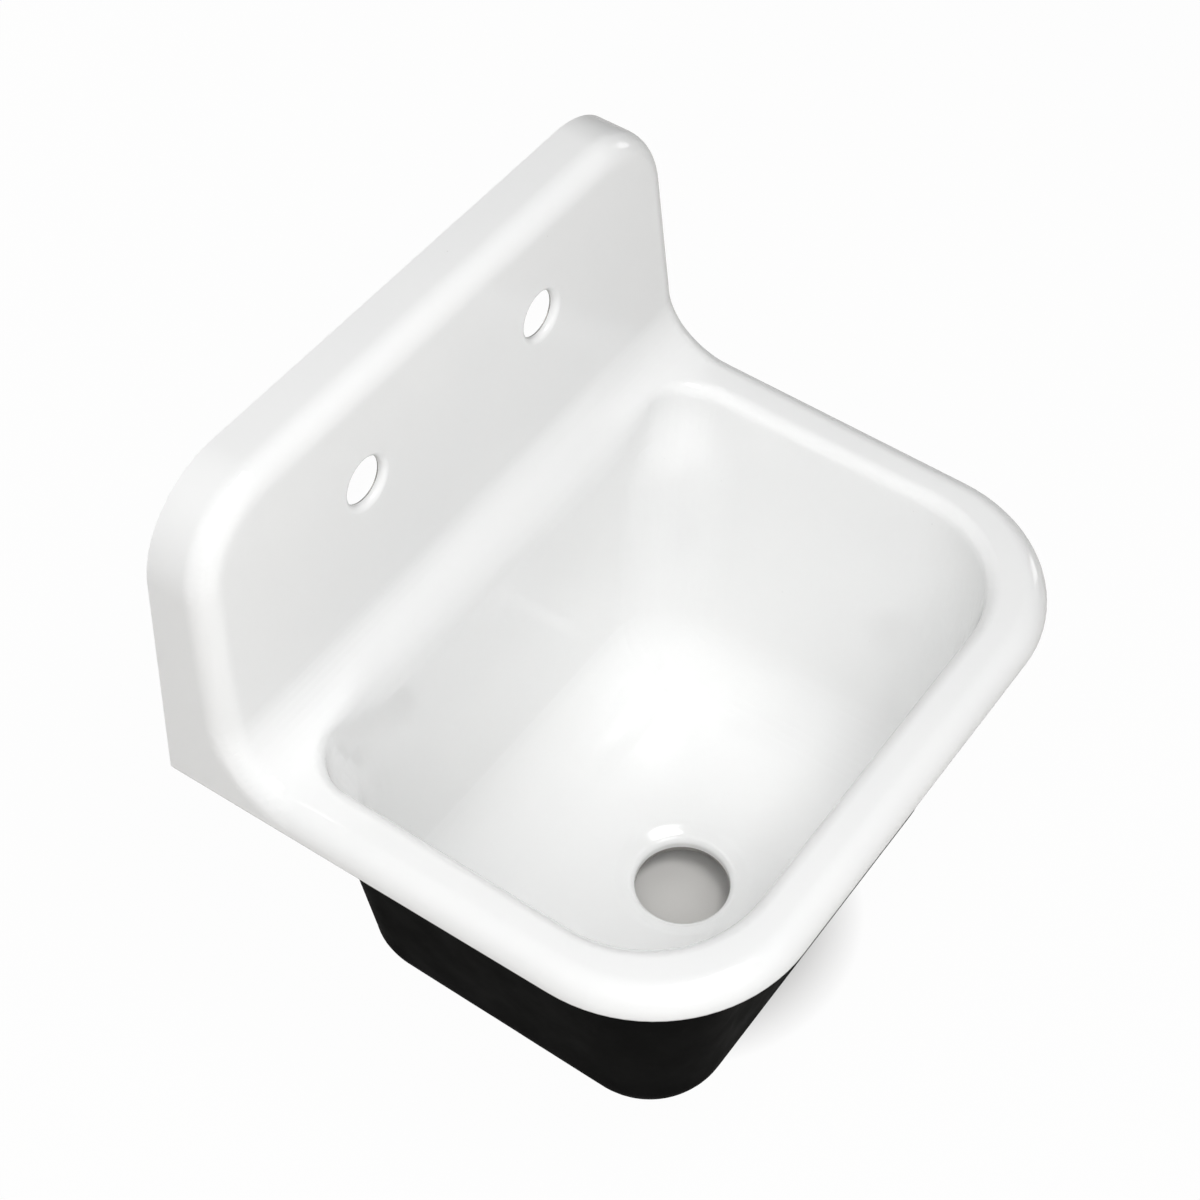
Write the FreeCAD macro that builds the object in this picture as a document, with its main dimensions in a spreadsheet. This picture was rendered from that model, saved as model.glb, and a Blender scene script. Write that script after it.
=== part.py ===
"""Wall-mounted service sink: an enamelled iron casting that hooks over two steel wall hangers.

Lengths are in millimetres. X runs to the right of a person facing the sink, Y runs into the wall and Z runs up. The
wall is the plane y = 0, and the origin is the middle of the four hanger screws on that plane.
"""
import FreeCAD, Part
import math
import os

import Sketcher

# Driving dimensions, one sheet cell each
DIMENSIONS = {
    # Outline of the casting
    "sink_width": 562.0,
    "sink_depth": 451.0,
    "side_draft": 0.072,
    "side_narrowing": 0.014,
    "casting_wall": 8.0,
    "roll_wall": 12.0,
    # Backsplash
    "splash_height": 237.0,
    "splash_base_depth": 60.0,
    "splash_lean": 0.062,
    "splash_corner_radius": 76.0,
    "splash_fillet_radius": 50.0,
    # Rolled rim
    "rim_drop": 27.0,
    "rim_corner_radius": 125.0,
    "rim_top_radius": 20.0,
    "rim_bottom_bevel": 5.0,
    # Basin
    "basin_side_rim": 46.0,
    "basin_front_rim": 43.0,
    "basin_depth": 281.0,
    "basin_side_draft": 0.15,
    "basin_front_draft": 0.122,
    "basin_back_offset": 85.0,
    "basin_back_draft": 0.03,
    "basin_floor_corner": 51.0,
    "basin_heel_radius": 44.0,
    "basin_bottom_radius": 38.0,
    "basin_lip_radius": 12.0,
    # Drain
    "drain_setback": 257.0,
    "drain_hole_diameter": 78.0,
    "drain_recess_diameter": 114.0,
    "drain_recess_depth": 6.0,
    "drain_recess_slope": 2.0,
    "drain_edge_bevel": 3.5,
    "drain_boss_diameter": 134.0,
    "drain_boss_height": 6.0,
    # Tap holes
    "tap_hole_diameter": 38.0,
    "tap_hole_spacing": 203.2,
    "tap_hole_height": 149.0,
    "tap_hole_edge_bevel": 3.0,
    # Hangers on the wall, and the hook lugs that drop over them
    "hanger_height": 140.0,
    "hanger_spacing": 370.0,
    "hanger_width": 64.0,
    "hanger_plate": 5.0,
    "hanger_standoff": 12.0,
    "hanger_foot": 32.0,
    "hanger_bend": 31.0,
    "hanger_top": 64.0,
    "hanger_bend_radius": 3.0,
    "hanger_corner_radius": 8.0,
    "lug_width": 56.0,
    "lug_shelf": 10.0,
    "lug_tongue": 7.0,
    "lug_engagement": 20.0,
    "lug_clearance": 2.0,
    "lug_corner_radius": 2.5,
    # Screws and washers
    "screw_diameter": 8.0,
    "screw_shank_diameter": 7.0,
    "screw_length": 60.0,
    "screw_pitch": 30.0,
    "screw_head_flats": 13.0,
    "screw_head_height": 5.5,
    "screw_hole_clearance": 0.5,
    "washer_diameter": 20.0,
    "washer_thickness": 2.0,
    # Room that a cutting shape reaches past what it cuts
    "cut_margin": 20.0,
}

SHEET = "Dimensions"
NEAR = 1e-3
# A plate bent by 45 degrees shifts its inner corner by this share of its thickness
BEND_SHIFT = math.tan(math.radians(22.5))
# A hexagon's width across its flats, for each millimetre from its middle to a corner
FLATS_TO_CORNERS = math.sqrt(3)


class Size:
    """A length that keeps its formula on the sheet beside its value."""

    def __init__(self, formula, value):
        self.formula = formula
        self.value = value

    def _join(self, sign, other, value):
        return Size(f"({self.formula} {sign} {other.formula})", value)

    def __add__(self, other):
        other = as_size(other)
        return self._join("+", other, self.value + other.value)

    def __sub__(self, other):
        other = as_size(other)
        return self._join("-", other, self.value - other.value)

    def __mul__(self, other):
        other = as_size(other)
        return self._join("*", other, self.value * other.value)

    def __truediv__(self, other):
        other = as_size(other)
        return self._join("/", other, self.value / other.value)

    def __neg__(self):
        return Size(f"(0 - {self.formula})", -self.value)


def as_size(value):
    """Return a plain number as a Size, and a Size as it is."""
    if isinstance(value, Size):
        return value
    return Size(repr(float(value)), float(value))


def make_sheet(doc):
    """Write the driving dimensions into the sheet."""
    sheet = doc.addObject("Spreadsheet::Sheet", SHEET)
    for row, (alias, value) in enumerate(DIMENSIONS.items(), start=1):
        sheet.set(f"A{row}", alias)
        sheet.set(f"B{row}", str(value))
        sheet.setAlias(f"B{row}", alias)
    doc.recompute()


def size(alias):
    """Return the sheet's value of that name."""
    return Size(f"{SHEET}.{alias}", DIMENSIONS[alias])


def bind(thing, path, length):
    """Tie a property to a formula on the sheet."""
    thing.setExpression(path, as_size(length).formula)


# Sketches and features

def new_body(doc, label):
    """Make an empty body with that label."""
    body = doc.addObject("PartDesign::Body", label)
    body.Label = label
    return body


def plane_of(body, role):
    """Return one of the body's own origin planes."""
    return next(feature for feature in body.Origin.OriginFeatures if feature.Role == role)


def sketch_on(body, name, role, offset=None):
    """Make a sketch on an origin plane, moved along the plane's normal."""
    sketch = body.newObject("Sketcher::SketchObject", name)
    sketch.AttachmentSupport = [(plane_of(body, role), "")]
    sketch.MapMode = "FlatFace"
    if offset is not None:
        bind(sketch, ".AttachmentOffset.Base.z", offset)
    return sketch


def hold(sketch, kind, *place, length=None):
    """Add a constraint, tied to the sheet where it has a length."""
    if length is None:
        return sketch.addConstraint(Sketcher.Constraint(kind, *place))
    index = sketch.addConstraint(Sketcher.Constraint(kind, *place, length.value))
    bind(sketch, f"Constraints[{index}]", length)
    return index


def place_point(sketch, geometry, position, u, v):
    """Hold a point of a sketch at two distances from its origin."""
    hold(sketch, "DistanceX", -1, 1, geometry, position, length=as_size(u))
    hold(sketch, "DistanceY", -1, 1, geometry, position, length=as_size(v))


def corner_arc(before, corner, after, radius):
    """Return the arc that rounds a corner, where it meets both sides, and whether it runs backwards."""
    inward = (before - corner).normalize()
    outward = (after - corner).normalize()
    half_angle = inward.getAngle(outward) / 2
    reach = radius / math.tan(half_angle)
    middle = corner + (inward + outward).normalize() * (radius / math.sin(half_angle))
    first = corner + inward * reach
    last = corner + outward * reach
    backwards = inward.cross(outward).z > 0
    start, end = (last, first) if backwards else (first, last)
    angles = [math.atan2(point.y - middle.y, point.x - middle.x) for point in (start, end)]
    circle = Part.Circle(middle, FreeCAD.Vector(0, 0, 1), radius)
    return Part.ArcOfCircle(circle, *angles), first, last, backwards


def outline(sketch, corners):
    """Draw a closed outline through corners (u, v, radius), where a radius of None leaves a sharp corner."""
    points = [FreeCAD.Vector(as_size(u).value, as_size(v).value, 0) for u, v, _ in corners]
    count = len(corners)
    arcs = {}
    for i, (_, _, radius) in enumerate(corners):
        if radius is not None:
            arcs[i] = corner_arc(points[i - 1], points[i], points[(i + 1) % count], radius.value)
    sides = []
    for i in range(count):
        start = arcs[i][2] if i in arcs else points[i]
        following = (i + 1) % count
        end = arcs[following][1] if following in arcs else points[following]
        sides.append(sketch.addGeometry(Part.LineSegment(start, end), False))
    for i, (u, v, radius) in enumerate(corners):
        marker = sketch.addGeometry(Part.Point(points[i]), True)
        place_point(sketch, marker, 1, u, v)
        if radius is None:
            hold(sketch, "Coincident", sides[i - 1], 2, marker, 1)
            hold(sketch, "Coincident", sides[i], 1, marker, 1)
            continue
        arc, _, _, backwards = arcs[i]
        arc_index = sketch.addGeometry(arc, False)
        first_end, last_end = (2, 1) if backwards else (1, 2)
        hold(sketch, "PointOnObject", marker, 1, sides[i - 1])
        hold(sketch, "PointOnObject", marker, 1, sides[i])
        hold(sketch, "Tangent", sides[i - 1], 2, arc_index, first_end)
        hold(sketch, "Tangent", arc_index, last_end, sides[i], 1)
        hold(sketch, "Radius", arc_index, length=radius)


def circle(sketch, u, v, diameter):
    """Draw a circle about a point of the sketch."""
    centre = FreeCAD.Vector(as_size(u).value, as_size(v).value, 0)
    index = sketch.addGeometry(Part.Circle(centre, FreeCAD.Vector(0, 0, 1), diameter.value / 2), False)
    place_point(sketch, index, 3, u, v)
    hold(sketch, "Diameter", index, length=diameter)


def extrude(body, kind, name, sketch, length, symmetric=False, backwards=False):
    """Pad or pocket a sketch by a length."""
    feature = body.newObject(f"PartDesign::{kind}", name)
    feature.Profile = sketch
    feature.SideType = "Symmetric" if symmetric else "One side"
    feature.Reversed = backwards
    bind(feature, "Length", length)
    body.Document.recompute()
    return feature


def slope_angle(slope, sign=1):
    """Return the angle of a wall that moves sideways by a slope for each millimetre along it."""
    degrees = sign * math.degrees(math.atan(slope.value))
    return Size(f"({sign} * atan({slope.formula}))", degrees)


def taper(body, name, sketch, length, slope, sign):
    """Pad a sketch whose walls spread (sign 1) or draw in (sign -1) by a slope on the way."""
    feature = extrude(body, "Pad", name, sketch, length)
    bind(feature, "TaperAngle", slope_angle(slope, sign))
    body.Document.recompute()
    return feature


def slant(pad, slope):
    """Lean a pad's direction along Y by a slope, so that its front and back spread differently from its sides."""
    pad.UseCustomVector = True
    pad.AlongSketchNormal = True
    pad.Direction = (0, 0, 1)
    bind(pad, ".Direction.y", slope)
    pad.Document.recompute()


def dress(body, kind, name, edges, measure, length):
    """Dress edges of the body's latest feature, by a fillet or a chamfer of that measure."""
    base = body.Tip
    feature = body.newObject(f"PartDesign::{kind}", name)
    feature.Base = (base, edges)
    bind(feature, measure, length)
    body.Document.recompute()


def fillet(body, name, edges, radius):
    """Round edges of the body's latest feature."""
    dress(body, "Fillet", name, edges, "Radius", radius)


def bevel(body, name, edges, width):
    """Cut edges of the body's latest feature at 45 degrees."""
    dress(body, "Chamfer", name, edges, "Size", width)


def combine(body, name, kind, other):
    """Fuse another body to this one, cut it out, or keep what both hold."""
    feature = body.newObject("PartDesign::Boolean", name)
    feature.Type = kind
    feature.setObjects([other])
    body.Document.recompute()
    return feature


def edges_of(body):
    """Pair the edges of the body's latest feature with their names."""
    return [(f"Edge{number}", edge) for number, edge in enumerate(body.Tip.Shape.Edges, start=1)]


def faces_of(body):
    """Pair the faces of the body's latest feature with their names."""
    return [(f"Face{number}", face) for number, face in enumerate(body.Tip.Shape.Faces, start=1)]


def sample_points(piece):
    """Return a few points of an edge or a face: its corners and, on an edge, its middle."""
    points = [vertex.Point for vertex in piece.Vertexes]
    if piece.ShapeType == "Edge":
        points.append(piece.valueAt(sum(piece.ParameterRange) / 2))
    return points


def circle_of(edge):
    """Return the circle that an edge runs along, or None where it is no circle."""
    if edge.Degenerated or not isinstance(edge.Curve, Part.Circle):
        return None
    return edge.Curve


def on_plane(piece, axis, place):
    """Tell whether an edge or a face lies where one coordinate has a value."""
    return all(abs(point[axis] - place) < NEAR for point in sample_points(piece))


def spread(piece, axis):
    """Return how far an edge or a face reaches along an axis."""
    places = [point[axis] for point in sample_points(piece)]
    return max(places) - min(places)


def middle_normal(face):
    """Return a face's outward direction at the middle of its parameters."""
    first_u, last_u, first_v, last_v = face.ParameterRange
    return face.normalAt((first_u + last_u) / 2, (first_v + last_v) / 2)


def border_of(body, faces):
    """Name the edges that bound a group of faces from outside."""
    inside = [edge for face in faces for edge in face.Edges]
    return [name for name, edge in edges_of(body) if sum(edge.isSame(other) for other in inside) == 1]


# Heights and reaches that several pieces share

def rim_top():
    """Height of the rim's flat top."""
    return -size("hanger_height")


def rim_bottom():
    """Height of the rolled rim's lower edge."""
    return rim_top() - size("rim_drop")


def splash_top():
    """Height of the backsplash's top."""
    return rim_top() + size("splash_height")


def splash_face(above_rim):
    """Distance from the wall to the backsplash's leaning front, at a height above the rim."""
    return size("splash_base_depth") - size("splash_lean") * above_rim


def basin_floor():
    """Height of the basin's flat floor."""
    return rim_top() - size("basin_depth")


# The casting

def rim_plan(sketch, inset, below):
    """Draw the rim's plan at a depth under its lower edge, drawn in by an inset and run on behind the wall plane."""
    growth = size("side_draft") * below
    corner = size("rim_corner_radius") - inset + growth
    front = size("sink_depth") - inset + growth
    behind = corner + size("cut_margin")
    half = size("sink_width") / 2 - inset + growth
    narrow = half - size("side_narrowing") * front
    wide = half + size("side_narrowing") * behind
    outline(sketch, [
        (-narrow, -front, corner),
        (narrow, -front, corner),
        (wide, behind, corner),
        (-wide, behind, corner),
    ])


def side_view(sketch, wall, roll, margin):
    """Draw the rim and backsplash from the side, drawn in by a wall, and at the top by the rolled edge's wall."""
    low = rim_bottom() - margin - size("cut_margin")
    high = splash_top() - roll
    front = -(size("sink_depth") + size("cut_margin"))
    outline(sketch, [
        (margin, low, None),
        (margin, high, None),
        (wall - splash_face(size("splash_height") - roll), high, None),
        (wall - splash_face(-wall), rim_top() - wall, size("splash_fillet_radius") + wall),
        (front, rim_top() - wall, None),
        (front, low, None),
    ])


def make_block(doc, label, wall, roll, margin):
    """Build the solid rim and backsplash, smaller by its walls, and longer below and behind by a margin."""
    body = new_body(doc, label)
    plan = sketch_on(body, f"{label}_plan", "XY_Plane", rim_bottom() - margin)
    rim_plan(plan, roll, margin)
    tall = size("rim_drop") + size("splash_height") + margin + size("cut_margin")
    taper(body, f"{label}_walls", plan, tall, size("side_draft"), -1)
    profile = new_body(doc, f"{label}_profile")
    view = sketch_on(profile, f"{label}_side_view", "YZ_Plane")
    side_view(view, wall, roll, margin)
    extrude(profile, "Pad", f"{label}_side_pad", view, size("sink_width") * 2, symmetric=True)
    combine(body, f"{label}_block", "Common", profile)
    top = (splash_top() - roll).value
    shoulders = [name for name, edge in edges_of(body)
                 if on_plane(edge, 2, top) and spread(edge, 1) > spread(edge, 0)]
    fillet(body, f"{label}_shoulders", shoulders, size("splash_corner_radius") - roll)
    return body


def is_front_face(face):
    """Tell whether a face is the rim's top, the backsplash's front or the curve between them."""
    normal = middle_normal(face)
    over_rim = rim_top().value - NEAR < face.CenterOfMass.z < splash_top().value - NEAR
    return over_rim and abs(normal.x) < NEAR and normal.y < NEAR


def add_rolled_edges(casting):
    """Round the upper edges of the rim and the backsplash, and bevel the rim's lower edge."""
    upper = border_of(casting, [face for _, face in faces_of(casting) if is_front_face(face)])
    fillet(casting, "upper_roll", upper, size("rim_top_radius"))
    low = [name for name, edge in edges_of(casting)
           if on_plane(edge, 2, rim_bottom().value) and not on_plane(edge, 1, 0.0)]
    bevel(casting, "lower_edge", low, size("rim_bottom_bevel"))


def basin_back(depth, wall):
    """Distance from the wall plane to the basin's back, at a depth below the rim's top."""
    return size("basin_back_offset") + size("basin_back_draft") * depth - wall


def basin_plan(sketch, wall):
    """Draw the basin's plan at its floor, wider by a wall, and run on past its back."""
    depth = size("basin_depth") + wall
    half = size("sink_width") / 2 - size("basin_side_rim") - size("basin_side_draft") * depth + wall
    front = size("sink_depth") - size("basin_front_rim") - size("basin_front_draft") * depth + wall
    corner = size("basin_floor_corner") + wall
    behind = corner + size("cut_margin") - size("basin_back_offset")
    outline(sketch, [
        (-half, -front, corner),
        (half, -front, corner),
        (half, behind, corner),
        (-half, behind, corner),
    ])


def make_basin(doc, label, wall, above):
    """Build the basin as a solid, wider by a wall, from its floor to a height above the rim's top."""
    body = new_body(doc, label)
    depth = size("basin_depth") + wall
    plan = sketch_on(body, f"{label}_plan", "XY_Plane", rim_top() - depth)
    basin_plan(plan, wall)
    walls = taper(body, f"{label}_walls", plan, depth + above, size("basin_side_draft"), 1)
    slant(walls, size("basin_side_draft") - size("basin_front_draft"))

    profile = new_body(doc, f"{label}_profile")
    view = sketch_on(profile, f"{label}_side_view", "YZ_Plane")
    margin = size("cut_margin")
    front = -(size("sink_depth") + margin)
    outline(view, [
        (-basin_back(depth, wall), rim_top() - depth, size("basin_heel_radius") + wall),
        (-basin_back(-above - margin, wall), rim_top() + above + margin, None),
        (front, rim_top() + above + margin, None),
        (front, rim_top() - depth, None),
    ])
    extrude(profile, "Pad", f"{label}_side_pad", view, size("sink_width") * 2, symmetric=True)
    combine(body, f"{label}_block", "Common", profile)

    floor = (rim_top() - depth).value
    rounded = [name for name, edge in edges_of(body)
               if on_plane(edge, 2, floor) and not is_heel(edge) or is_back_corner(edge, wall)]
    fillet(body, f"{label}_bottom", rounded, size("basin_bottom_radius") + wall)
    return body


def is_heel(edge):
    """Tell whether an edge of the floor is the straight line where it starts to curve up to the back."""
    return spread(edge, 1) < NEAR and edge.CenterOfMass.y > -DIMENSIONS["drain_setback"]


def is_back_corner(edge, wall):
    """Tell whether an edge runs up one of the basin's two back corners."""
    on_back = all(abs(point.y + basin_back(rim_top() - point.z, wall).value) < NEAR
                  for point in sample_points(edge))
    return on_back and spread(edge, 2) > DIMENSIONS["basin_depth"] / 2


def drain_underside():
    """Height of the boss's lower face, under the drain's recess."""
    return basin_floor() - size("drain_recess_depth") - size("casting_wall") - size("drain_boss_height")


def add_drain_boss(outside):
    """Thicken the basin's outside round the drain."""
    boss = sketch_on(outside, "drain_boss", "XY_Plane", drain_underside())
    circle(boss, 0, -size("drain_setback"), size("drain_boss_diameter"))
    extrude(outside, "Pad", "drain_boss_pad", boss, basin_floor() - drain_underside())


def add_drain_hole(casting):
    """Sink the drain's sloping recess into the floor, pierce it, and bevel the hole's edge."""
    recess_floor = basin_floor() - size("drain_recess_depth")
    recess = new_body(casting.Document, "drain_recess")
    ring = sketch_on(recess, "drain_recess_ring", "XY_Plane", recess_floor)
    narrow = size("drain_recess_diameter") - size("drain_recess_slope") * size("drain_recess_depth") * 2
    circle(ring, 0, -size("drain_setback"), narrow)
    taper(recess, "drain_recess_cone", ring, size("drain_recess_depth") * 2, size("drain_recess_slope"), 1)
    combine(casting, "with_recess", "Cut", recess)
    hole = sketch_on(casting, "drain_hole_ring", "XY_Plane", recess_floor)
    circle(hole, 0, -size("drain_setback"), size("drain_hole_diameter"))
    extrude(casting, "Pocket", "drain_hole", hole, recess_floor - drain_underside() + size("cut_margin"))
    cut_edges = [name for name, edge in edges_of(casting)
                 if on_plane(edge, 2, recess_floor.value) and is_ring(edge, "drain_hole_diameter")]
    bevel(casting, "drain_edge", cut_edges, size("drain_edge_bevel"))


def is_ring(edge, diameter):
    """Tell whether an edge is a circle of a diameter that the sheet names."""
    ring = circle_of(edge)
    return ring is not None and abs(ring.Radius - DIMENSIONS[diameter] / 2) < NEAR


def lug_outline(sketch):
    """Draw a hook lug in side view: a shelf off the backsplash's back, and a tongue that drops behind the hanger."""
    seat = size("hanger_top")
    lip_back = size("hanger_standoff")
    tongue_front = lip_back - size("lug_clearance")
    tongue_back = tongue_front - size("lug_tongue")
    root = splash_face(size("hanger_height") + seat) - size("casting_wall") / 2
    outline(sketch, [
        (-tongue_back, seat - size("lug_engagement"), size("lug_corner_radius")),
        (-tongue_back, seat + size("lug_shelf"), size("lug_corner_radius")),
        (-root, seat + size("lug_shelf"), None),
        (-root, seat, None),
        (-tongue_front, seat, None),
        (-tongue_front, seat - size("lug_engagement"), size("lug_corner_radius")),
    ])


def add_lugs(casting):
    """Add the two hook lugs behind the backsplash."""
    outer = size("hanger_spacing") / 2 + size("lug_width") / 2
    for side, start in (("right", outer - size("lug_width")), ("left", -outer)):
        lug = sketch_on(casting, f"lug_{side}_view", "YZ_Plane", start)
        lug_outline(lug)
        extrude(casting, "Pad", f"lug_{side}", lug, size("lug_width"))


def add_tap_holes(casting):
    """Pierce the backsplash square to its leaning front for the tap's two legs, and bevel the front edges."""
    height = size("tap_hole_height")
    lean = slope_angle(size("splash_lean"))
    holes = sketch_on(casting, "tap_holes_view", "XZ_Plane", splash_face(height))
    turn = FreeCAD.Rotation(FreeCAD.Vector(-1, 0, 0), lean.value)
    holes.AttachmentOffset = FreeCAD.Placement(holes.AttachmentOffset.Base, turn)
    bind(holes, ".AttachmentOffset.Base.y", rim_top() + height)
    bind(holes, ".AttachmentOffset.Rotation.Angle", lean)
    for side in (-1, 1):
        circle(holes, size("tap_hole_spacing") / 2 * side, 0, size("tap_hole_diameter"))
    extrude(casting, "Pocket", "tap_holes", holes, size("casting_wall") + size("cut_margin"))
    front = splash_face(height).value - DIMENSIONS["casting_wall"] / 2
    edges = [name for name, edge in edges_of(casting)
             if is_ring(edge, "tap_hole_diameter") and edge.CenterOfMass.y < -front]
    bevel(casting, "tap_hole_edges", edges, size("tap_hole_edge_bevel"))


def add_basin_lip(casting):
    """Round the edge where the rim's top and the backsplash's curve turn down into the basin."""
    half = DIMENSIONS["sink_width"] / 2 - DIMENSIONS["basin_side_rim"]
    front = DIMENSIONS["sink_depth"] - DIMENSIONS["basin_front_rim"]
    back = DIMENSIONS["basin_back_offset"]
    reach = DIMENSIONS["basin_lip_radius"] / 2
    top = rim_top().value
    edges = []
    for name, edge in edges_of(casting):
        points = sample_points(edge)
        beside = all(abs(point.x) < half + reach for point in points)
        along = all(-front - reach < point.y < -back + reach for point in points)
        over = all(point.z > top - NEAR for point in points)
        if beside and along and over:
            edges.append(name)
    fillet(casting, "basin_lip", edges, size("basin_lip_radius"))


def make_casting(doc):
    """Build the casting: hollow rim and backsplash, basin, drain, tap holes and hook lugs."""
    none = Size("0", 0.0)
    wall = size("casting_wall")
    over_ridge = size("splash_fillet_radius")
    casting = make_block(doc, "sink_casting", none, none, none)
    add_rolled_edges(casting)
    outside = make_basin(doc, "basin_outside", wall, -wall)
    add_drain_boss(outside)
    combine(casting, "with_basin", "Fuse", outside)
    hollow = make_block(doc, "hollow", wall, size("roll_wall"), size("cut_margin"))
    core = make_basin(doc, "basin_core", wall, over_ridge)
    combine(hollow, "hollow_round_basin", "Cut", core)
    combine(casting, "hollowed", "Cut", hollow)
    inside = make_basin(doc, "basin_inside", none, over_ridge)
    combine(casting, "opened", "Cut", inside)
    add_basin_lip(casting)
    add_drain_hole(casting)
    add_tap_holes(casting)
    add_lugs(casting)
    return casting


# Pieces on the wall

def hanger_outline(sketch):
    """Draw a hanger from the side: a plate on the wall that cranks forward into a lip."""
    plate = size("hanger_plate")
    inner = size("hanger_bend_radius")
    outer = inner + plate
    standoff = size("hanger_standoff")
    low_bend = size("hanger_bend")
    high_bend = low_bend + standoff
    shift = plate * BEND_SHIFT
    outline(sketch, [
        (0, -size("hanger_foot"), None),
        (0, low_bend, outer),
        (-standoff, high_bend, inner),
        (-standoff, size("hanger_top"), None),
        (-(standoff + plate), size("hanger_top"), None),
        (-(standoff + plate), high_bend - shift, outer),
        (-plate, low_bend - shift, inner),
        (-plate, -size("hanger_foot"), None),
    ])


def make_hanger(doc, label, side):
    """Build one hanger, with two screw holes."""
    body = new_body(doc, label)
    view = sketch_on(body, f"{label}_view", "YZ_Plane")
    hanger_outline(view)
    extrude(body, "Pad", f"{label}_plate", view, size("hanger_width"), symmetric=True)
    low = [name for name, edge in edges_of(body)
           if on_plane(edge, 2, -DIMENSIONS["hanger_foot"]) and spread(edge, 1) > spread(edge, 0)]
    fillet(body, f"{label}_corners", low, size("hanger_corner_radius"))
    holes = sketch_on(body, f"{label}_holes_view", "XZ_Plane")
    for level in (-1, 1):
        circle(holes, 0, size("screw_pitch") / 2 * level, size("screw_diameter") + size("screw_hole_clearance") * 2)
    extrude(body, "Pocket", f"{label}_holes", holes, size("hanger_plate") + size("cut_margin"), symmetric=True)
    bind(body, ".Placement.Base.x", size("hanger_spacing") / 2 * side)
    return body


def screw_places():
    """Yield a name and the place on the wall plane of each screw."""
    for side_name, side in (("left", -1), ("right", 1)):
        for level_name, level in (("lower", -1), ("upper", 1)):
            yield f"{side_name}_{level_name}", size("hanger_spacing") / 2 * side, size("screw_pitch") / 2 * level


def solid_along_y(doc, kind, name, place, sizes):
    """Make a round or six-sided solid that starts at a place (x, y, z) and runs into the wall."""
    solid = doc.addObject(f"Part::{kind}", name)
    solid.Placement.Rotation = FreeCAD.Rotation(FreeCAD.Vector(1, 0, 0), -90)
    for axis, length in zip("xyz", place):
        bind(solid, f".Placement.Base.{axis}", length)
    for alias, length in sizes.items():
        bind(solid, alias, length)
    return solid


def join(doc, kind, name, **inputs):
    """Make a boolean or a group of solids."""
    result = doc.addObject(f"Part::{kind}", name)
    for role, solids in inputs.items():
        setattr(result, role, solids)
    return result


def make_screw(doc, name, x, z):
    """Build one screw: a six-sided head on its washer, a shank through the hanger and a wider thread in the wall."""
    through = size("hanger_plate") + size("washer_thickness")
    head = solid_along_y(doc, "Prism", f"screw_head_{name}", (x, -through - size("screw_head_height"), z), {
        "Circumradius": size("screw_head_flats") / FLATS_TO_CORNERS, "Height": size("screw_head_height")})
    head.Polygon = 6
    shank = solid_along_y(doc, "Cylinder", f"screw_shank_{name}", (x, -through, z), {
        "Radius": size("screw_shank_diameter") / 2, "Height": through})
    thread = solid_along_y(doc, "Cylinder", f"screw_thread_{name}", (x, 0, z), {
        "Radius": size("screw_diameter") / 2, "Height": size("screw_length") - through})
    return join(doc, "MultiFuse", f"screw_{name}", Shapes=[head, shank, thread])


def make_washer(doc, name, x, z):
    """Build one washer against its hanger."""
    place = (x, -(size("hanger_plate") + size("washer_thickness")), z)
    disc = solid_along_y(doc, "Cylinder", f"washer_disc_{name}", place, {
        "Radius": size("washer_diameter") / 2, "Height": size("washer_thickness")})
    bore = solid_along_y(doc, "Cylinder", f"washer_bore_{name}", place, {
        "Radius": size("screw_diameter") / 2 + size("screw_hole_clearance"), "Height": size("washer_thickness")})
    return join(doc, "Cut", f"washer_{name}", Base=disc, Tool=bore)


def make_group(doc, label, make_one):
    """Build one fastener at each screw's place and group them."""
    solids = [make_one(doc, name, x, z) for name, x, z in screw_places()]
    group = join(doc, "Compound", label, Links=solids)
    group.Label = label
    return group


def check(doc, pieces):
    """Stop if any object failed, or if any piece has no valid shape."""
    for thing in doc.Objects:
        if "Invalid" in thing.State or "Error" in thing.State:
            raise RuntimeError(f"{thing.Label} failed: {thing.State}")
    for piece in pieces:
        if piece.Shape.isNull() or not piece.Shape.isValid():
            raise RuntimeError(f"{piece.Label} has no valid shape")


def main():
    """Build every piece, check it and write it."""
    doc = FreeCAD.newDocument("Sink")
    make_sheet(doc)
    pieces = [
        make_casting(doc),
        make_hanger(doc, "wall_hanger_left", -1),
        make_hanger(doc, "wall_hanger_right", 1),
        make_group(doc, "hanger_screws", make_screw),
        make_group(doc, "hanger_washers", make_washer),
    ]
    doc.recompute()
    check(doc, pieces)
    os.makedirs("parts", exist_ok=True)
    for piece in pieces:
        piece.Shape.exportStep(f"parts/{piece.Label}.step")
        print(piece.Label, len(piece.Shape.Solids), "solids", round(piece.Shape.Volume), "cubic mm")


main()
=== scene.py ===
"""Dresses a wall-hung service sink: one enamelled iron casting and the steel fixings that carry it."""

import logging
import math
from collections.abc import Iterable
from dataclasses import dataclass
from enum import IntEnum

import bmesh
import bpy
from mathutils import Matrix, Vector


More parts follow.
